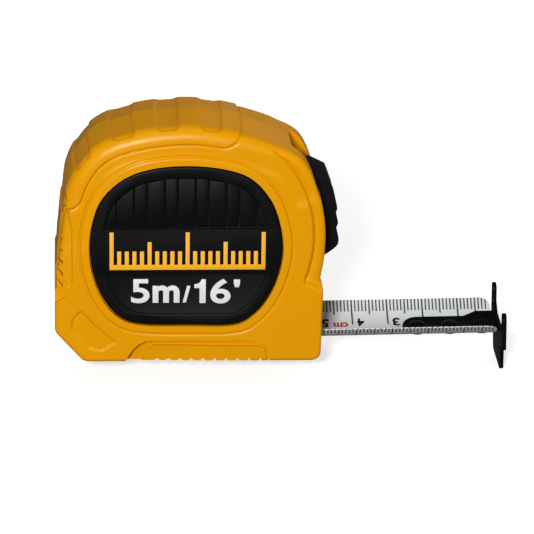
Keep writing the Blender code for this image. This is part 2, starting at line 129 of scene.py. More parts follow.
def boolean(body, tool, operation="DIFFERENCE"):
    modifier = body.modifiers.new("cut", "BOOLEAN")
    modifier.operation = operation
    modifier.solver = "EXACT"
    modifier.object = tool
    applyAll(body)
    bpy.data.objects.remove(tool, do_unlink=True)


def joinAll(objects, name):
    deselect()
    for obj in objects:
        obj.select_set(True)
    bpy.context.view_layer.objects.active = objects[0]
    if len(objects) > 1:
        bpy.ops.object.join()
    objects[0].name = name
    objects[0].data.name = name
    return objects[0]


def copyOf(obj, name):
    new = obj.copy()
    new.data = obj.data.copy()
    new.name = name
    new.data.name = name
    bpy.context.scene.collection.objects.link(new)
    return new


def slab(name, outline, nearY, farY):
    # an (x, z) outline in mm, filled and extruded across the case
    deselect()
    bpy.ops.mesh.primitive_circle_add(vertices=len(outline), radius=1, fill_type="NGON")
    obj = bpy.context.object
    obj.name = name
    for vertex, (x, z) in zip(obj.data.vertices, outline):
        vertex.co = place(x, nearY, z)
    bpy.ops.object.mode_set(mode="EDIT")
    bpy.ops.mesh.select_all(action="SELECT")
    bpy.ops.mesh.extrude_region_move(TRANSFORM_OT_translate={"value": (0, (farY - nearY) * mm, 0)})
    bpy.ops.object.mode_set(mode="OBJECT")
    tidyNormals(obj)
    return obj


def polar(radius, degrees):
    angle = math.radians(degrees)
    return (drumX + radius * math.cos(angle), drumZ + radius * math.sin(angle))


def arc(radius, start, stop, segments):
    return [polar(radius, start + (stop - start) * i / segments) for i in range(segments + 1)]


def spline(knots, steps, closed=False):
    curve = []
    spans = len(knots) if closed else len(knots) - 1
    for i in range(spans):
        b, c = knots[i], knots[(i + 1) % len(knots)]
        a = knots[i - 1] if closed or i else b
        d = knots[(i + 2) % len(knots)] if closed or i + 2 < len(knots) else c
        for k in range(steps):
            t = k / steps
            curve.append(tuple(0.5 * (2 * q + (r - p) * t + (2 * p - 5 * q + 4 * r - s) * t * t
                                      + (3 * q - p - 3 * r + s) * t ** 3) for p, q, r, s in zip(a, b, c, d)))
    if not closed:
        curve.append(tuple(knots[-1]))
    return curve


def rounded(corners, segments):
    points = []
    for i, (x, z, radius) in enumerate(corners):
        here = Vector((x, z))
        back = (Vector(corners[i - 1][:2]) - here).normalized()
        ahead = (Vector(corners[(i + 1) % len(corners)][:2]) - here).normalized()
        if radius == 0:
            points.append((x, z))
            continue
        half = back.angle(ahead) / 2
        centre = here + (back + ahead).normalized() * (radius / math.sin(half))
        first = here + back * (radius / math.tan(half)) - centre
        last = here + ahead * (radius / math.tan(half)) - centre
        turn = math.atan2(first.x * last.y - first.y * last.x, first.dot(last))
        for k in range(segments + 1):
            spin = Matrix.Rotation(turn * k / segments, 2)
            point = centre + spin @ first
            points.append((point.x, point.y))
    return points


def resample(points, count):
    # even spacing along a closed line of any width
    lengths = [0]
    for a, b in zip(points, points[1:] + points[:1]):
        lengths.append(lengths[-1] + math.dist(a[:2], b[:2]))
    result, j = [], 0
    for i in range(count):
        goal = lengths[-1] * i / count
        while lengths[j + 1] < goal:
            j += 1
        t = (goal - lengths[j]) / (lengths[j + 1] - lengths[j])
        a, b = points[j], points[(j + 1) % len(points)]
        result.append(tuple(p + (q - p) * t for p, q in zip(a, b)))
    return result


def step(value, edge, width):
    # 1 below the edge, 0 above it
    t = min(1, max(0, 0.5 - (value - edge) / width))
    return t * t * (3 - 2 * t)


def ridge(value, width):
    return math.exp(-(value / width) ** 2)


def roundBox(x, y, halfX, halfY, radius):
    # distance outside a rounded rectangle
    ax, ay = abs(x) - halfX + radius, abs(y) - halfY + radius
    return math.hypot(max(ax, 0), max(ay, 0)) + min(max(ax, ay), 0) - radius


def segmentDistance(x, z, a, b):
    dx, dz = b[0] - a[0], b[1] - a[1]
    t = min(1, max(0, ((x - a[0]) * dx + (z - a[1]) * dz) / (dx * dx + dz * dz)))
    return math.hypot(x - a[0] - t * dx, z - a[1] - t * dz)


def polygonDistance(x, z, corners):
    inside = False
    best = 1e9
    for a, b in zip(corners, corners[1:] + corners[:1]):
        best = min(best, segmentDistance(x, z, a, b))
        if (a[1] > z) != (b[1] > z) and x < (b[0] - a[0]) * (z - a[1]) / (b[1] - a[1]) + a[0]:
            inside = not inside
    return -best if inside else best


# materials


class Wire:
    # a socket that can be used in sums
    def __init__(self, shop, socket):
        self.shop, self.socket = shop, socket

    def maths(self, operation, *others):
        return self.shop.add("ShaderNodeMath", {"operation": operation}, [self, *others])

    def __add__(self, other):
        return self.maths("ADD", other)

    def __radd__(self, other):
        return self.maths("ADD", other)

    def __mul__(self, other):
        return self.maths("MULTIPLY", other)

    def __rmul__(self, other):
        return self.maths("MULTIPLY", other)

    def __sub__(self, other):
        return self.maths("SUBTRACT", other)

    def __rsub__(self, other):
        return self * -1 + other

    def __truediv__(self, other):
        return self.maths("DIVIDE", other)

    def below(self, other):
        return self.maths("LESS_THAN", other)

    def least(self, other):
        return self.maths("MINIMUM", other)

    def most(self, other):
        return self.maths("MAXIMUM", other)

    def size(self):
        return self.maths("ABSOLUTE")

    def part(self):
        return self.maths("FRACT")


class Workshop:
    def __init__(self, name, colour, roughness, metallic=0, **fixed):
        self.material = bpy.data.materials.new(name)
        self.material.use_nodes = True
        self.tree = self.material.node_tree
        self.shader = self.tree.nodes["Principled BSDF"]
        self.shader.inputs["Base Color"].default_value = (*colour, 1)
        self.shader.inputs["Roughness"].default_value = roughness
        self.shader.inputs["Metallic"].default_value = metallic
        for socket, value in fixed.items():
            self.shader.inputs[socket.replace("_", " ")].default_value = value
        self.material.diffuse_color = (*colour, 1)
        self.place = self.tree.nodes.new("ShaderNodeTexCoord").outputs["Object"]

    def add(self, kind, settings, values, out=0):
        node = self.tree.nodes.new(kind)
        for name, value in settings.items():
            setattr(node, name, value)
        pairs = values.items() if isinstance(values, dict) else enumerate(values)
        for key, value in pairs:
            if isinstance(value, Wire):
                self.tree.links.new(value.socket, node.inputs[key])
            elif isinstance(value, bpy.types.NodeSocket):
                self.tree.links.new(value, node.inputs[key])
            else:
                node.inputs[key].default_value = value
        return Wire(self, node.outputs[out])

    def axes(self):
        split = self.tree.nodes.new("ShaderNodeSeparateXYZ")
        self.tree.links.new(self.place, split.inputs[0])
        return [Wire(self, socket) for socket in split.outputs]

    def noise(self, scale, detail=2, rough=0.5):
        return self.add("ShaderNodeTexNoise", {}, {
            "Vector": self.place, "Scale": scale, "Detail": detail, "Roughness": rough})

    def mix(self, factor, first, second):
        # colours are (r, g, b) or wires
        low, high = [c if isinstance(c, Wire) else (*c, 1) for c in (first, second)]
        return self.add("ShaderNodeMix", {"data_type": "RGBA"}, {0: factor, 6: low, 7: high}, out=2)

    def feed(self, socket, wire):
        self.tree.links.new(wire.socket, self.shader.inputs[socket])

    def bump(self, wire, height):
        self.feed("Normal", self.add("ShaderNodeBump", {}, {
            "Strength": 1.0, "Distance": height * mm, "Height": wire}))


def mouldedPlastic(name, colour, darker, roughness, grain=0.012, **fixed):
    shop = Workshop(name, colour, roughness, **fixed)
    shop.feed("Base Color", shop.mix(shop.noise(55, 3) * 0.6, colour, darker))
    shop.feed("Roughness", shop.noise(160, 4) * 0.16 + (roughness - 0.08))
    shop.bump(shop.noise(2600, 3, 0.6), grain)
    return shop.material


def paintedSteel(name, colour, darker, roughness, **fixed):
    shop = Workshop(name, colour, roughness, **fixed)
    shop.feed("Base Color", shop.mix(shop.noise(120, 4) * 0.7, colour, darker))
    shop.feed("Roughness", shop.noise(420, 4) * 0.2 + (roughness - 0.1))
    shop.bump(shop.noise(1500, 3), 0.01)
    return shop.material


def plainSteel(name, colour, roughness):
    shop = Workshop(name, colour, roughness, 1.0)
    stretched = shop.add("ShaderNodeMapping", {}, {"Vector": shop.place, "Scale": (300, 9000, 300)})
    streaks = shop.add("ShaderNodeTexNoise", {}, {"Vector": stretched, "Scale": 1.0, "Detail": 4.0})
    shop.feed("Base Color", shop.mix(shop.noise(200, 3), colour, tuple(c * 0.72 for c in colour)))
    shop.feed("Roughness", streaks * 0.22 + (roughness - 0.1))
    shop.bump(streaks, 0.008)
    return shop.material


def dress(obj, material):
    obj.data.materials.clear()
    obj.data.materials.append(material)


def ready(obj, material, body, nodes=(), slot=None):
    dress(obj, material)
    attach(obj, body)
    if nodes:
        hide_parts(*nodes)


yellow = mouldedPlastic("case yellow", (0.71, 0.328, 0.0), (0.64, 0.285, 0.0), 0.36,
                        grain=0.010, Specular_IOR_Level=0.24)
black = mouldedPlastic("insert black", (0.0045, 0.0045, 0.005), (0.0025, 0.0025, 0.003), 0.5,
                       grain=0.02, Specular_IOR_Level=0.22)
lockBlack = mouldedPlastic("lock black", (0.006, 0.006, 0.0065), (0.003, 0.003, 0.0035), 0.5,
                           grain=0.02, Specular_IOR_Level=0.22)
reelBlack = mouldedPlastic("reel black", (0.03, 0.03, 0.033), (0.02, 0.02, 0.022), 0.5)
rubber = mouldedPlastic("guide rubber", (0.012, 0.012, 0.012), (0.02, 0.02, 0.02), 0.75, grain=0.03)
hookBlack = paintedSteel("hook enamel", (0.004, 0.004, 0.0045), (0.006, 0.006, 0.0065), 0.42,
                         Specular_IOR_Level=0.1)
clipBlack = paintedSteel("clip enamel", (0.02, 0.02, 0.022), (0.03, 0.03, 0.032), 0.38)
zinc = plainSteel("screw zinc", (0.55, 0.55, 0.56), 0.34)
springSteel = plainSteel("spring steel", (0.28, 0.28, 0.31), 0.33)
coilPaint = paintedSteel("coil paint", (0.74, 0.74, 0.71), (0.66, 0.66, 0.63), 0.4)

# the case

caseShape = {
    "around": 720,          # points round the outline
    "crownRows": 30, "edgeRows": 12, "sideRows": 28, "bezelRows": 16,
    "recessDepth": 1.3,     # how deep the badge sits
    "bezelWidth": 2.2, "bezelRise": 0.33,
    "bandDrop": 0.42,       # how far the plain shell lies below the grip band
    "panelDrop": 0.5, "panelPitch": 21.3, "panelFirst": 79.5, "panelCount": 5,
    "panelHalf": 2.85, "panelReach": 14.2, "bandReach": 18.7,
    "bandFront": 65.3, "bandRear": 166.0,       # degrees about the reel axis
    "bandRadius": 33, "bandCorner": 4.0, "panelCorner": 1.6,
    "seamLine": 0.14, "borderLine": 0.34, "panelLine": 0.12,        # depths of the fine lines
    "rearDrop": 0.65, "cheekDrop": 0.8, "cheekRadius": 33.9, "cheekLine": 0.45, "footLine": 0.75,
    "heelDrop": 0.38, "heelLine": 0.2, "bezelLine": 0.3,
}

caseKnots = [       # x, z, edge rounding, fall towards the side
    (-73.5, 30.0, 2.2, 0.2), (-73.3, 38.0, 3.0, 0.3), (-72.2, 46.5, 3.6, 0.5),
    (-69.8, 54.5, 4.0, 0.8), (-65.6, 60.8, 4.0, 1.0), (-59.6, 64.9, 4.0, 1.0),
    (-49.5, 67.8, 4.0, 1.0), (-37.5, 68.9, 4.0, 1.0), (-27.5, 67.8, 4.0, 1.0),
    (-18.5, 65.3, 4.0, 0.9), (-11.8, 62.2, 3.2, 0.6), (-6.4, 58.6, 2.6, 0.2),
    (-3.4, 53.6, 2.2, 0.0), (-1.2, 46.5, 2.0, 0.0), (0.1, 38.5, 2.0, 0.0),
    (0.0, 30.5, 2.0, 0.0), (-1.1, 23.6, 1.8, 0.0)]
badgeKnots = [
    (-37.9, 56.8), (-47.6, 55.9), (-55.2, 52.9), (-60.9, 47.2), (-63.5, 40.0), (-64.2, 32.8),
    (-63.3, 25.6), (-60.6, 18.6), (-56.2, 13.4), (-50.0, 11.2), (-37.4, 10.9), (-25.0, 11.0),
    (-19.4, 14.0), (-15.4, 19.2), (-12.7, 25.8), (-11.6, 33.0), (-12.5, 40.2), (-15.2, 47.2),
    (-20.6, 53.2), (-28.2, 55.9)]
badgeCentre = (-37.9, 33.5)


def caseOutline():
    points = spline(caseKnots, 14)
    toe = rounded([(-1.4, 22.9, 0), (-0.2, 20.6, 1.8), (-0.6, 0, 2.6), (-5, 0, 0)], 12)
    heel = rounded([(-56, 0, 0), (-66, 0, 3), (-73.9, 8.8, 3), (-73.9, 26.8, 1.6), (-73.2, 28.6, 0)], 10)
    points += [(x, z, 1.0, 0.0) for x, z in toe[1:]]
    points += [(x, z, 1.0, 0.0) for x, z in heel]
    return resample(points, caseShape["around"])


def grown(points, amount):
    # an anticlockwise closed line moved outwards
    result = []
    for i, point in enumerate(points):
        along = (Vector(points[(i + 1) % len(points)]) - Vector(points[i - 1])).normalized()
        result.append((point[0] + along.y * amount, point[1] - along.x * amount))
    return result


def badgeLine(amount, count=120):
    return resample(grown(spline(badgeKnots, 8, closed=True), amount), count)


def rayTable(points):
    # distance from the badge's centre for every direction
    offsets = [(x - badgeCentre[0], z - badgeCentre[1]) for x, z in points]
    table = sorted((math.atan2(z, x), math.hypot(x, z)) for x, z in offsets)
    first, last = table[0], table[-1]
    turn = 2 * math.pi
    return [(last[0] - turn, last[1])] + table + [(first[0] + turn, first[1])]


def lookUp(table, angle):
    low, high = 0, len(table) - 1
    while high - low > 1:
        middle = (low + high) // 2
        if table[middle][0] <= angle:
            low = middle
        else:
            high = middle
    (a, ra), (b, rb) = table[low], table[high]
    return ra + (rb - ra) * (angle - a) / (b - a)


heelPanel = [
    (-66.7, 14.9), (-68.9, 12.5), (-69.2, 9.6), (-64.6, 4.4),
    (-60.9, 3.6), (-57.6, 5.8), (-62.6, 10.4)]
rearPanel = [
    (-77.0, 48.6), (-72.8, 48.2), (-71.3, 46.8), (-69.4, 39.8), (-69.1, 38.3),
    (-69.1, 22.9), (-69.7, 21.8), (-71.0, 21.2), (-77.0, 20.8)]
footLine = ((-5.0, 22.9), (0.5, 20.4))


def bandShift(angle, across):
    # the grip band over the crown, its border line and its sunk panels
    s = caseShape
    middle = (s["bandFront"] + s["bandRear"]) / 2
    around = math.radians(angle - middle) * s["bandRadius"]
    half = math.radians(s["bandRear"] - s["bandFront"]) / 2 * s["bandRadius"]
    band = roundBox(around, across, half, s["bandReach"], s["bandCorner"])
    upper = step(-angle, -18, 6) * step(angle, 185, 10)
    shift = -s["bandDrop"] * (1 - step(band, 0, 0.5)) * upper * step(across, 22, 2.5)
    shift -= s["borderLine"] * ridge(band - 0.2, 0.34) * upper
    for k in range(s["panelCount"]):
        centre = math.radians(s["panelFirst"] + s["panelPitch"] * k - middle) * s["bandRadius"]
        panel = roundBox(around - centre, across, s["panelHalf"], s["panelReach"], s["panelCorner"])
        shift -= s["panelDrop"] * step(panel, 0, 0.4) + s["panelLine"] * ridge(panel, 0.3)
    return shift


def sideShift(x, z, angle, side, badgeGap):
    # what stands on the flat of the side: cheek, foot line, heel panel and bezel
    s = caseShape
    radius = math.hypot(x - drumX, z - drumZ)
    signed = (angle + 180) % 360 - 180
    cheek = step(signed, 47, 5) * step(-signed, 21.5, 2.5)
    shift = -side * cheek * (s["cheekDrop"] * step(-radius, -s["cheekRadius"], 1.1)
                             + s["cheekLine"] * ridge(radius - s["cheekRadius"] - 0.4, 0.55))
    shift -= side * s["footLine"] * ridge(segmentDistance(x, z, *footLine), 0.5)
    heel = polygonDistance(x, z, heelPanel)
    shift -= side * (s["heelDrop"] * step(heel, 0, 0.5) + s["heelLine"] * ridge(heel, 0.35))
    shift += s["bezelRise"] * step(badgeGap, s["bezelWidth"], 0.35)
    shift -= s["bezelLine"] * ridge(badgeGap - s["bezelWidth"] - 0.3, 0.3)
    return shift


def surfaceShift(x, z, across, side, badgeGap):
    # how far the skin lies from the plain case shape, mm outwards
    s = caseShape
    angle = math.degrees(math.atan2(z - drumZ, x - drumX)) % 360
    shift = bandShift(angle, across) - s["seamLine"] * step(across, 0.15, 0.1)
    outer = max(side, step(-across, -11.8, 1.5))
    shift -= outer * s["rearDrop"] * step(polygonDistance(x, z, rearPanel), 0, 0.45)
    if side > 0:
        shift += sideShift(x, z, angle, side, badgeGap)
    return shift


def skinPlaces(i, outline, table):
    # one line of the skin from the seam to the badge:
    # point, y, share facing across, share facing sideways, distance across, distance to the badge
    s = caseShape
    x, z, radius, fall = outline[i]
    along = (Vector(outline[(i + 1) % len(outline)][:2]) - Vector(outline[i - 1][:2])).normalized()
    inward = Vector((along.y, -along.x))
    here = Vector((x, z))
    straight = halfThick - radius
    farOff = 99
    places = []
    for k in range(s["crownRows"] + 1):
        t = k / s["crownRows"]
        y = seamGap + (straight - seamGap) * t
        places.append((here + inward * fall * t, y, 1.0, 0.0, y, farOff))
    for k in range(1, s["edgeRows"] + 1):
        a = math.pi / 2 * k / s["edgeRows"]
        point = here + inward * (fall + radius * (1 - math.cos(a)))
        y = straight + radius * math.sin(a)
        places.append((point, y, math.cos(a), math.sin(a), straight + radius * a, farOff))
    start = here + inward * (fall + radius)
    angle = math.atan2(start.y - badgeCentre[1], start.x - badgeCentre[0])
    reach = lookUp(table, angle)
    goal = Vector((badgeCentre[0] + reach * math.cos(angle), badgeCentre[1] + reach * math.sin(angle)))
    gap = (goal - start).length
    close = min(4.2, gap * 0.6) / gap       # the rows are closer beside the badge
    shares = [k / s["sideRows"] * (1 - close) for k in range(1, s["sideRows"] + 1)]
    shares += [1 - close * (1 - k / s["bezelRows"]) for k in range(1, s["bezelRows"] + 1)]
    edge = straight + radius * math.pi / 2
    for t in shares:
        places.append((start.lerp(goal, t), halfThick, 0.0, 1.0, edge + gap * t, gap * (1 - t)))
    return inward, places


def shellSkin():
    s = caseShape
    outline = caseOutline()
    count = len(outline)
    table = rayTable(badgeLine(0.3, 720))
    rows = [[] for _ in range(s["crownRows"] + s["edgeRows"] + s["sideRows"] + s["bezelRows"] + 2)]
    for i in range(count):
        inward, places = skinPlaces(i, outline, table)
        for j, (point, y, out, side, across, badgeGap) in enumerate(places):
            shift = surfaceShift(point.x, point.y, across, side, badgeGap)
            moved = point - inward * shift * out
            rows[j].append(place(moved.x, -(y + shift * side), moved.y))
        last = places[-1][0]
        rows[-1].append(place(last.x, -(halfThick - s["recessDepth"]), last.y))
    deselect()
    bpy.ops.mesh.primitive_grid_add(x_subdivisions=count, y_subdivisions=len(rows) - 1, size=2)
    obj = bpy.context.object
    obj.name = "shellNear"
    points = [row[i % count] for row in rows for i in range(count + 1)]
    for vertex, point in zip(obj.data.vertices, points):
        vertex.co = point
    tiny = 0.0000001
    bpy.ops.object.mode_set(mode="EDIT")
    bpy.ops.mesh.select_all(action="SELECT")
    bpy.ops.mesh.remove_doubles(threshold=tiny)
    bpy.ops.mesh.fill_holes(sides=0)
    bpy.ops.object.mode_set(mode="OBJECT")
    tidyNormals(obj, tiny)
    return obj


def cylinderAcross(x, z, radius, nearY, farY, sides=48):
    deselect()
    bpy.ops.mesh.primitive_cylinder_add(vertices=sides, radius=radius * mm, depth=abs(farY - nearY) * mm,
                                        location=place(x, (nearY + farY) / 2, z), rotation=(math.pi / 2, 0, 0))
    freeze(bpy.context.object)
    return bpy.context.object


bladeShape = {
    "radius": 14.9, "halfArc": 48.0,        # the dished section, degrees each way
    "thick": 0.3, "corner": 2.6,
    "low": 2.45, "tilt": 0.95,              # its lowest line at the mouth, and its slope in degrees
    "rear": -16.0, "tip": 48.9, "zero": 49.75,
    "columns": 130, "rows": 48,
}


def onBlade(s, y, h):
    # s along the blade from the mouth, h above its lowest line
    tilt = math.radians(bladeShape["tilt"])
    c, n = math.cos(tilt), math.sin(tilt)
    return place(s * c - h * n, y, bladeShape["low"] + s * n + h * c)


def alongBlade(name, section, rear, front):
    # a (y, height) section run along the blade
    deselect()
    bpy.ops.mesh.primitive_circle_add(vertices=len(section), radius=1, fill_type="NGON")
    obj = bpy.context.object
    obj.name = name
    for vertex, (y, h) in zip(obj.data.vertices, section):
        vertex.co = onBlade(rear, y, h)
    bpy.ops.object.mode_set(mode="EDIT")
    bpy.ops.mesh.select_all(action="SELECT")
    run = onBlade(front, 0, 0) - onBlade(rear, 0, 0)
    bpy.ops.mesh.extrude_region_move(TRANSFORM_OT_translate={"value": run})
    bpy.ops.object.mode_set(mode="OBJECT")
    tidyNormals(obj)
    return obj


insideShape = {
    "chamber": 27, "chamberHalf": 13,       # for the reel
    "troughHalf": 12.3, "troughTop": 11.2, "troughGap": 0.55, "troughSteps": 28,
    "reliefHalf": 3.3, "reliefLow": -1.15, "reliefHigh": 2,     # for the rivets
    "slotHalf": 6.9, "windowHalf": 2.8, "armHalf": 9.4,         # for the lock and its arm
    "screwHole": 1.55, "farHole": 1.7, "screwHead": 2.9, "clipHole": 1.55, "clipHoleZ": 50.0,
}
hollowShape = {
    "face": 13.8, "barStep": 0.75,      # how far out the bar lies, and the hollow behind it
    "runOut": 0.042, "lean": 0.06,
    "flutes": 10, "firstFlute": -45.8, "flutePitch": 3.17, "fluteHigh": 1.0, "fluteDeep": -12.6,
}
hollowRim = [
    (-54.8, -0.5), (-54.0, 1.2), (-52.5, 3.5), (-50.8, 5.2),
    (-48.8, 6.1), (-20.2, 6.1), (-15.2, 4.6), (-14.2, -0.5)]
hollowBar = [(-15.6, -0.5), (-15.9, 3.4), (-17.4, 4.4), (-46.4, 4.6), (-48.6, 3.4), (-50.2, -0.5)]
heelDip = [(-76, 29.5), (-73.1, 28.2), (-69.9, 21.2), (-69.9, 20.2), (-73.4, 17.4), (-76, 16.8)]


def trough():
    d = insideShape
    radius = bladeShape["radius"] + d["troughGap"]
    reach = math.asin(d["troughHalf"] / radius)
    section = []
    for i in range(d["troughSteps"] + 1):
        a = -reach + 2 * reach * i / d["troughSteps"]
        section.append((radius * math.sin(a), bladeShape["radius"] - radius * math.cos(a)))
    top = d["troughTop"] - bladeShape["low"]
    section += [(d["troughHalf"], top), (-d["troughHalf"], top)]
    return alongBlade("trough", section, -65.0, 4.0)


def cutInside(shell):
    d = insideShape
    boolean(shell, cylinderAcross(drumX, drumZ, d["chamber"], -d["chamberHalf"], d["chamberHalf"], 64))
    boolean(shell, trough())
    wide, low, high = d["reliefHalf"], d["reliefLow"], d["reliefHigh"]
    section = [(-wide, low), (wide, low), (wide, high), (-wide, high)]
    boolean(shell, alongBlade("relief", section, -40, 4))
    slot = arc(34.2, -27.5, 29.5, 28) + [(-9.7, 61), (-7, 70), polar(52, 20), polar(50, -27.5)]
    window = arc(24, -16, 9, 5) + arc(36, 9, -16, 5)
    armRoom = arc(22.6, -78, 16, 20) + arc(27.1, 16, -78, 20)
    for name, outline in (("slot", slot), ("window", window), ("arm", armRoom)):
        boolean(shell, slab(name, outline, -d[name + "Half"], d[name + "Half"]))


def cutFingerHollow(shell):
    s = hollowShape
    for line, deeper in ((hollowRim, 0), (hollowRim + hollowBar, s["barStep"])):
        wedge = slab("hollow", line, outside, -10)
        for vertex in wedge.data.vertices:      # it runs out towards the front
            if vertex.co.y > mouth.y - 12 * mm:
                x, z = (vertex.co.x - mouth.x) / mm, (vertex.co.z - mouth.z) / mm
                face = s["face"] + s["runOut"] * (x + 54) + s["lean"] * max(0, z)
                vertex.co.y = mouth.y - (face - deeper) * mm
        triangulate(wedge)
        boolean(shell, wedge)
    half = s["flutePitch"] / 2
    for i in range(s["flutes"]):        # rounded flutes with sharp valleys between them
        middle = s["firstFlute"] + s["flutePitch"] * i
        valley = []
        for k in range(17):
            t = k / 8 - 1
            high = s["fluteHigh"] * (1 - math.sqrt(1 - (1 - abs(t)) ** 2)) - 0.01
            valley.append((middle + half * t, high))
        valley += [(middle + half, -0.6), (middle - half, -0.6)]
        boolean(shell, slab("flute", valley, outside, s["fluteDeep"]))


def cutHeel(shell):
    dip = slab("dip", heelDip, outside, -15.2)
    for vertex in dip.data.vertices:        # it deepens towards the rear
        if vertex.co.y > mouth.y - 16 * mm and vertex.co.x < mouth.x - 71 * mm:
            vertex.co.y = mouth.y - 13.6 * mm
    triangulate(dip)
    boolean(shell, dip)
    for k in range(5):      # slanted grip slots down the rear corner
        z = 24.7 + 3.4 * k
        outline = [(-76, z + 3.6), (-76, z + 2.7), (-71.6, z - 2.9), (-71.6, z - 2.0)]
        boolean(shell, slab("gripSlot", outline, outside, -12.6))


def drill(shell, places, radius, nearY, farY, sides=32):
    holes = [cylinderAcross(x, z, radius, nearY, farY, sides) for x, z in places]
    boolean(shell, joinAll(holes, "holes"))


def mirrorCopy(obj, name):
    new = copyOf(obj, name)
    for vertex in new.data.vertices:
        vertex.co.y = 2 * mouth.y - vertex.co.y
    new.data.flip_normals()
    return new


print("case: skin")
nearShell = shellSkin()
print("case: hollows")
cutInside(nearShell)
print("case: finger hollow")
cutFingerHollow(nearShell)
cutHeel(nearShell)
drill(nearShell, screwPlaces, insideShape["screwHole"], -8.4, 2.0, 20)
print("case: far half")
farShell = mirrorCopy(nearShell, "shellFar")
drill(farShell, screwPlaces, insideShape["farHole"], 7.0, -outside)
drill(farShell, screwPlaces, insideShape["screwHead"], 11.0, 20.0)
drill(farShell, [(drumX, insideShape["clipHoleZ"])], insideShape["clipHole"], 12.0, 20.0)
for shell, end in ((nearShell, "near"), (farShell, "far")):
    smooth(shell, 38)
    ready(shell, yellow, "case", [end + "_shell"], "case_yellow_" + end)
print("case:", len(nearShell.data.polygons), "faces")

# the badges in the sides

badgeShape = {
    "face": 15.62, "back": 14.5, "edge": 0.55,      # mm from the seam, and the rounding of the rim
    "frame": 3.2, "floorDepth": 0.7,                # of the windows below the frame
    "ribFirst": -54.7, "ribPitch": 8.4,
    "ribWide": 4.5, "ribTop": 0.12, "ribNarrow": 3.1, "ribNarrowTop": 0.38,
    "bandLow": 26.1, "bandHigh": 38.9, "bandFace": 15.8, "bandInset": 1.5,
    "windowLow": 14.2, "windowHigh": 53.4, "left": -70, "right": 0,
}


def boxSlab(name, lowX, highX, lowZ, highZ, nearY, farY):
    return slab(name, [(lowX, lowZ), (highX, lowZ), (highX, highZ), (lowX, highZ)], nearY, farY)


def windowPart(name, lowX, highX, lowZ, highZ, nearY, farY, shrink=0.0):
    # the part of the badge inside its frame that lies in one rectangle
    part = slab(name, badgeLine(-badgeShape["frame"] - shrink, 160), nearY, farY)
    limit = boxSlab("limit", lowX, highX, lowZ, highZ, nearY - 1, farY + 1)
    boolean(part, limit, "INTERSECT")
    return part


def makeRibs(face, floor):
    # wide and narrow ribs in turn behind the upper window
    b = badgeShape
    ribs = []
    for k in range(-1, 10):
        wide = k % 2 == 0
        centre = b["ribFirst"] + b["ribPitch"] * k / 2
        half = (b["ribWide"] if wide else b["ribNarrow"]) / 2
        top = face + (b["ribTop"] if wide else b["ribNarrowTop"])
        rib = windowPart("rib", centre - half, centre + half, b["bandHigh"] + 0.35, b["windowHigh"] + 1,
                         top, floor + 0.2, 0.3)
        if len(rib.data.polygons) > 5:
            bevel(rib, 0.12, 2)
            ribs.append(rib)
        else:       # it fell outside the window
            bpy.data.objects.remove(rib, do_unlink=True)
    return ribs


def makeBadge():
    b = badgeShape
    face = -b["face"]
    floor = face + b["floorDepth"]
    left, right = b["left"], b["right"]
    badge = slab("badgeNear", badgeLine(0, 240), face, -b["back"])
    bevel(badge, b["edge"], 4)
    boolean(badge, windowPart("upper", left, right, b["bandHigh"], b["windowHigh"], face - 2, floor))
    boolean(badge, windowPart("lower", left, right, b["windowLow"], b["bandLow"], face - 2, floor))
    bevel(badge, 0.16, 2, 60)
    ribs = makeRibs(face, floor)
    band = slab("band", badgeLine(-b["bandInset"], 160), -b["bandFace"], floor)
    limit = boxSlab("limit", left, right, b["bandLow"], b["bandHigh"], face - 2, floor + 1)
    boolean(band, limit, "INTERSECT")
    bevel(band, 0.2, 3)
    return joinAll([badge, *ribs, band], "badgeNear")


print("badges")
nearBadge = makeBadge()
smooth(nearBadge, 32)
farBadge = mirrorCopy(nearBadge, "badgeFar")
ready(nearBadge, black, "case", ["near_badge"], "badge_black_near")
ready(farBadge, black, "case", ["far_badge"], "badge_black_far")

# a yellow rule and the length on the near badge

scaleShape = {
    "left": -58.9, "right": -16.3, "low": 27.2, "bar": 1.5, "pitch": 2.09, "wide": 1.15, "rise": 0.1,
    "tall": 9.4, "middle": 6.6, "short": 3.9,       # tooth heights: each tenth, each fifth, the rest
}


def makeScale():
    s = scaleShape
    base = s["low"] + s["bar"]
    run = s["right"] - s["left"] - s["wide"]
    count = int(run / s["pitch"] + 0.5) + 1
    outline = [(s["left"], s["low"]), (s["right"], s["low"]), (s["right"], base)]
    for k in reversed(range(count)):
        x = s["left"] + run * k / (count - 1)
        top = base + (s["tall"] if k % 10 == 0 else s["middle"] if k % 5 == 0 else s["short"])
        outline += [(x + s["wide"], base), (x + s["wide"], top), (x, top), (x, base)]
    clean = [p for i, p in enumerate(outline) if math.dist(p, outline[i - 1]) > 0.01]
    face = -badgeShape["bandFace"]
    scale = slab("scaleMark", clean, face - s["rise"], face + 0.05)
    bevel(scale, 0.06, 2)
    return scale


def textMesh(name, words, depth, weight):
    # flat letters as a closed mesh, with the corners of their box
    data = bpy.data.curves.new(name, "FONT")
    data.body = words
    data.offset = weight
    data.extrude = depth / 2
    data.resolution_u = 6
    obj = bpy.data.objects.new(name, data)
    bpy.context.scene.collection.objects.link(obj)
    pick(obj)
    bpy.ops.object.convert(target="MESH")
    obj = bpy.context.object
    tidyNormals(obj, 0.0005)
    lows = [min(v.co[k] for v in obj.data.vertices) for k in (0, 1)]
    highs = [max(v.co[k] for v in obj.data.vertices) for k in (0, 1)]
    return obj, lows, highs


def stretchText(obj, lows, highs, mapper):
    # each point goes to the place that the mapper gives for its share of width and height
    for vertex in obj.data.vertices:
        u = (vertex.co.x - lows[0]) / (highs[0] - lows[0])
        v = (vertex.co.y - lows[1]) / (highs[1] - lows[1])
        vertex.co = mapper(u, v, vertex.co.z)


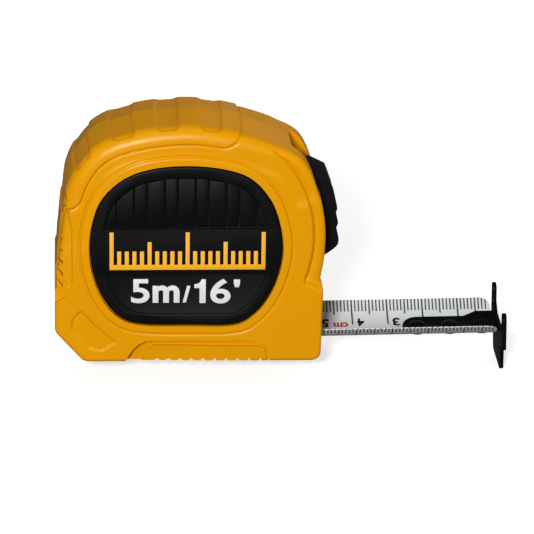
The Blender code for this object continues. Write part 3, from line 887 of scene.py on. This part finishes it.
lengthShape = {
    "rise": 0.5, "sink": 0.02, "edge": 0.14,
    "weight": 0.018, "stemWeight": 0.034,
    "glyphs": [       # left, right, low, high
        ("5", -53.0, -47.9, 17.3, 24.3), ("m", -47.1, -39.7, 17.4, 22.4),
        ("slash", -38.9, -36.7, 17.4, 22.3), ("one", -35.7, -32.5, 17.2, 24.2),
        ("6", -31.3, -25.7, 17.1, 24.3), ("'", -24.9, -23.1, 21.8, 24.1)],
}
drawnGlyphs = {
    "slash": [(0, 0), (0.45, 0), (1, 1), (0.55, 1)],
    "one": [(0.45, 0), (1, 0), (1, 1), (0.62, 1), (0.5, 0.88), (0.32, 0.81), (0, 0.79), (0, 0.63), (0.45, 0.63)],
}


def makeGlyph(words, left, right, low, high):
    t = lengthShape
    back = -badgeShape["face"] + badgeShape["floorDepth"] + t["sink"]
    front = back - t["sink"] - t["rise"]
    wide, tall = right - left, high - low
    if words in drawnGlyphs:
        return slab("glyph", [(left + wide * u, low + tall * v) for u, v in drawnGlyphs[words]], front, back)
    weight = t["weight"] if words.isdigit() else t["stemWeight"]
    glyph, lows, highs = textMesh("glyph", words, 0.06, weight)
    stretchText(glyph, lows, highs, lambda u, v, d: place(
        left + wide * u, back - (t["rise"] if d > 0 else 0), low + tall * v))
    return glyph


def makeLengthText():
    glyphs = []
    for row in lengthShape["glyphs"]:
        glyph = makeGlyph(*row)
        bevel(glyph, lengthShape["edge"], 3, 50)
        tidyNormals(glyph)
        glyphs.append(glyph)
    return joinAll(glyphs, "lengthText")


scale = makeScale()
smooth(scale, 30)
yellowInk = mouldedPlastic("mark yellow", (0.83, 0.42, 0.02), (0.76, 0.37, 0.015), 0.45, grain=0.006)
ready(scale, yellowInk, "case", slot="badge_black_near")
letters = makeLengthText()
smooth(letters, 30)
whiteInk = mouldedPlastic("mark white", (0.72, 0.72, 0.71), (0.66, 0.66, 0.65), 0.5, grain=0.006)
ready(letters, whiteInk, "case", slot="badge_black_near")

# the lock

lockShape = {"half": 6.45, "backRadius": 34.5, "edge": 0.7}
lockFront = [(-0.9, 27.3), (1.0, 28.2), (3.0, 29.7), (4.2, 31.1), (4.3, 33.0), (3.6, 35.4), (4.1, 37.4),
             (3.4, 39.8), (3.8, 41.7), (2.95, 44.6), (2.7, 45.6), (1.1, 49.9), (0.4, 50.7), (-3.6, 52.7)]


def makeLock():
    front = spline(lockFront, 5)
    start, stop = (math.degrees(math.atan2(z - drumZ, x - drumX)) for x, z in (front[-1], front[0]))
    outline = front + arc(lockShape["backRadius"], start, stop, 24)
    lock = slab("lockButton", outline, -lockShape["half"], lockShape["half"])
    bevel(lock, lockShape["edge"], 4, 50)
    return lock


print("lock")
lock = makeLock()
smooth(lock, 40)
ready(lock, lockBlack, "lock", ["lock_button"], "lock_black")

# the blade


def bladeStrip():
    b = bladeShape
    deselect()
    bpy.ops.mesh.primitive_grid_add(x_subdivisions=b["columns"], y_subdivisions=b["rows"], size=2)
    strip = bpy.context.object
    strip.name = "bladeStrip"
    half = math.radians(b["halfArc"])
    reach = b["radius"] * half
    for vertex in strip.data.vertices:
        u, v = vertex.co.x, vertex.co.y
        over = max(0.0, abs(v) * reach - (reach - b["corner"]))
        tip = b["tip"] - (b["corner"] - math.sqrt(max(0, b["corner"] ** 2 - over ** 2)))
        s = b["rear"] + (tip - b["rear"]) * (u + 1) / 2
        a = half * v
        vertex.co = onBlade(s, b["radius"] * math.sin(a), b["radius"] * (1 - math.cos(a)) + b["thick"])
    modifier = strip.modifiers.new("thickness", "SOLIDIFY")
    modifier.thickness = b["thick"] * mm * 0.98
    modifier.offset = -1
    modifier.use_even_offset = True
    applyAll(strip)
    return strip


inch = 25.4
tickShape = {
    "fine": 0.36, "fiveWide": 1.1, "tenWide": 1.2,      # line width, and how much wider the longer lines are
    "inkFrom": 48.6,                                    # no ink past this, beside the hook
    "top": (4.8, 3.7 / 4.8, 9.0 / 4.8),                 # reach of each fifth line, shares of fine and tenth
    "under": (3.2, 0.7, 1.6),
    "inches": ((inch / 16, 0.25, 3.2), (inch / 8, 0.25, 4.6), (inch, 0.35, 10.5)),      # pitch, width, reach
}


def bladePaint(name, under):
    t = tickShape
    shop = Workshop(name, (0.62, 0.64, 0.65), 0.34)
    x, y, z = shop.axes()
    tilt = math.radians(bladeShape["tilt"])
    along = (x - mouth.x) * (math.cos(tilt) / mm) + (z - mouth.z) * (math.sin(tilt) / mm)
    sideways = ((y - mouth.y) * (1 / mm / bladeShape["radius"])).least(0.99).most(-0.99)
    arcPlace = sideways.maths("ARCSINE") * bladeShape["radius"]
    edge = bladeShape["radius"] * math.radians(bladeShape["halfArc"])
    fromFar = edge - arcPlace
    fromNear = edge + arcPlace
    count = bladeShape["zero"] - along

    def lines(pitch, width):
        return ((count / pitch + 0.5).part() - 0.5).size().below(width / 2 / pitch)

    def rule(unit, gap):
        reach, fineShare, tenShare = t["under" if under else "top"]
        fine = lines(unit, t["fine"]) * gap.below(reach * fineShare)
        five = lines(unit * 5, t["fine"] * t["fiveWide"]) * gap.below(reach)
        ten = lines(unit * 10, t["fine"] * t["tenWide"]) * gap.below(reach * tenShare)
        return fine.most(five).most(ten)

    if under:
        ink = rule(1.0, fromNear).most(rule(inch / 16, fromFar))
    else:
        ink = rule(1.0, fromFar)
        for pitch, width, reach in t["inches"]:
            ink = ink.most(lines(pitch, width) * fromNear.below(reach))
    ink = ink * along.below(t["inkFrom"])
    wear = shop.noise(900, 3)
    paint = shop.mix(shop.noise(90, 4), (0.66, 0.685, 0.70), (0.60, 0.625, 0.64))
    shop.feed("Base Color", shop.mix(ink * (wear * 0.12 + 0.86), paint, (0.006, 0.006, 0.008)))
    shop.feed("Roughness", shop.noise(500, 3) * 0.14 + 0.27)
    shop.bump(shop.noise(700, 2), 0.006)
    return shop.material


print("blade")
strip = bladeStrip()
tidyNormals(strip, 0.0000005)
ready(strip, bladePaint("blade top paint", False), "tape", ["blade"], "blade_paint")
strip.data.materials.append(bladePaint("blade underside paint", True))
up = onBlade(0, 0, 1) - onBlade(0, 0, 0)
for polygon in strip.data.polygons:
    if polygon.normal.dot(up) < 0:
        polygon.material_index = 1
smooth(strip, 40)

digitShape = {"wide": 2.0, "low": 2.6, "high": 6.2, "gap": 1.25, "top": 0.025, "root": 0.004, "count": 6}
unitShape = {"words": "cm", "at": 8.4, "low": 2.5, "high": 4.7, "wide": 4.1}


def onBladeSkin(s, arcPlace, rise):
    # a point just above the blade's upper skin
    a = arcPlace / bladeShape["radius"]
    radius = bladeShape["radius"] - (bladeShape["thick"] + rise)
    return onBlade(s, radius * math.sin(a), bladeShape["radius"] - radius * math.cos(a))


def bladeText(words, s, low, high, wide):
    # it reads from the hook towards the mouth
    letters, lows, highs = textMesh("digit", words, 0.02, 0.03)
    stretchText(letters, lows, highs, lambda u, v, d: onBladeSkin(
        s - wide * u, high - (high - low) * v, digitShape["top" if d > 0 else "root"]))
    return letters


def makeDigits():
    d = digitShape
    digits = []
    for n in range(1, d["count"] + 1):
        s = bladeShape["zero"] - 10 * n + d["gap"] + d["wide"]
        digits.append(bladeText(str(n), s, d["low"], d["high"], d["wide"]))
    return joinAll(digits, "bladeDigits")


def makeUnitMark():
    m = unitShape
    return joinAll([bladeText(m["words"], m["at"], m["low"], m["high"], m["wide"])], "unitMark")


digits = makeDigits()
unitMark = makeUnitMark()
for obj in (digits, unitMark):
    tidyNormals(obj)
inkBlack = mouldedPlastic("ink black", (0.008, 0.008, 0.009), (0.012, 0.012, 0.013), 0.4, grain=0.003)
inkRed = mouldedPlastic("ink red", (0.42, 0.02, 0.02), (0.36, 0.015, 0.015), 0.4, grain=0.003)
ready(digits, inkBlack, "tape", slot="blade_paint")
ready(unitMark, inkRed, "tape", slot="blade_paint")

# hook, rivets, guide, clip and screws


def softened(node, name, width, segments, degrees=28):
    # a clean copy of a part with its edges rounded
    obj = copyOf(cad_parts[node], name)
    obj.parent = None
    obj.hide_render = False
    tidyNormals(obj, 0.000002)
    pick(obj)
    bpy.ops.object.mode_set(mode="EDIT")
    bpy.ops.mesh.select_all(action="SELECT")
    bpy.ops.mesh.dissolve_limited(angle_limit=math.radians(1.0))
    bpy.ops.object.mode_set(mode="OBJECT")
    bevel(obj, width, segments, degrees)
    smooth(obj, 40)
    return obj


print("small parts")
smallParts = [
    # node, name, body, slot, edge mm, segments, material
    ("hook", "endHook", "end_hook", "hook_black", 0.16, 3, hookBlack),
    ("rivet_1", "rivetA", "tape", "rivet_black_1", 0.14, 3, hookBlack),
    ("rivet_2", "rivetB", "tape", "rivet_black_2", 0.14, 3, hookBlack),
    ("rivet_3", "rivetC", "tape", "rivet_black_3", 0.14, 3, hookBlack),
    ("mouth_guide", "mouthGuide", "case", "guide_rubber", 0.12, 2, rubber),
    ("belt_clip", "beltClip", "case", "clip_steel", 0.25, 3, clipBlack),
    ("belt_clip_screw", "clipScrew", "case", "clip_screw_zinc", 0.12, 2, zinc)]
for k in range(1, 5):
    smallParts.append((f"case_screw_{k}", f"caseScrew{k}", "case", f"screw_zinc_{k}", 0.12, 2, zinc))
for node, name, body, slotName, width, segments, material in smallParts:
    ready(softened(node, name, width, segments), material, body, [node], slotName)

insides = {"spindle": reelBlack, "drum": reelBlack, "drum_cap": reelBlack,
           "mainspring": springSteel, "blade_coil": coilPaint, "lock_arm": lockBlack}
for node, material in insides.items():
    dress(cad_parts[node], material)

# floor, light and camera

cameraSet = {
    "place": (-69.25, -937.5, 371.01),      # mm from the mouth
    "azimuth": -3.3154, "elevation": 20.387, "roll": -0.894, "lens": 242.79,
}
studio = {"world": 0.13, "floorGlow": 0.42}


def addCamera():
    c = cameraSet
    data = bpy.data.cameras.new("camera")
    data.lens = c["lens"]
    data.sensor_width = 36
    data.clip_start, data.clip_end = 0.05, 20
    camera = bpy.data.objects.new("camera", data)
    bpy.context.scene.collection.objects.link(camera)
    a, e, r = (math.radians(c[k]) for k in ("azimuth", "elevation", "roll"))
    back = Vector((math.sin(a) * math.cos(e), -math.cos(a) * math.cos(e), math.sin(e)))
    right = Vector((math.cos(a), math.sin(a), 0))
    up = back.cross(right)
    right, up = right * math.cos(r) - up * math.sin(r), up * math.cos(r) + right * math.sin(r)
    camera.matrix_world = Matrix(((right.x, up.x, back.x, 0), (right.y, up.y, back.y, 0),
                                  (right.z, up.z, back.z, 0), (0, 0, 0, 1)))
    camera.location = place(*c["place"])
    bpy.context.scene.camera = camera


def addFloor():
    deselect()
    bpy.ops.mesh.primitive_plane_add(size=12, location=(0, 0, cadLow.z - 0.0002))
    floor = bpy.context.object
    floor.name = "floor"
    shop = Workshop("floor", (0.9, 0.9, 0.9), 0.7)
    shop.feed("Base Color", shop.mix(shop.noise(3, 2), (0.90, 0.90, 0.90), (0.93, 0.93, 0.93)))
    shop.shader.inputs["Emission Color"].default_value = (1, 1, 1, 1)
    shop.shader.inputs["Emission Strength"].default_value = studio["floorGlow"]
    dress(floor, shop.material)
    floor.visible_glossy = False        # it throws no light on the object
    floor.visible_diffuse = False


def addLight(name, spot, target, size, power, glossy=True):
    data = bpy.data.lights.new(name, "AREA")
    data.shape = "RECTANGLE"
    data.size, data.size_y = size
    data.energy = power
    light = bpy.data.objects.new(name, data)
    bpy.context.scene.collection.objects.link(light)
    light.location = spot
    light.visible_glossy = glossy
    light.rotation_euler = (Vector(target) - Vector(spot)).to_track_quat("-Z", "Y").to_euler()


addCamera()
addFloor()
world = bpy.data.worlds.new("studio")
world.use_nodes = True
background = world.node_tree.nodes["Background"]
background.inputs["Color"].default_value = (1, 1, 1, 1)
background.inputs["Strength"].default_value = studio["world"]
bpy.context.scene.world = world
viewSettings = bpy.context.scene.view_settings
viewSettings.view_transform = "Standard"
viewSettings.look = "Medium High Contrast"
addLight("key", (-0.22, -1.0, 0.46), (0, 0, 0.03), (0.2, 0.16), 10.2)
addLight("top", (-0.12, -0.32, 0.85), (0, 0, 0.05), (0.07, 0.07), 0.4)
addLight("back", (0.25, 1.0, 0.3), (0, 0, 0.03), (0.6, 0.4), 5, glossy=False)
addLight("front", (1.0, 0.05, 0.3), (0, 0, 0.03), (0.5, 0.4), 3, glossy=False)
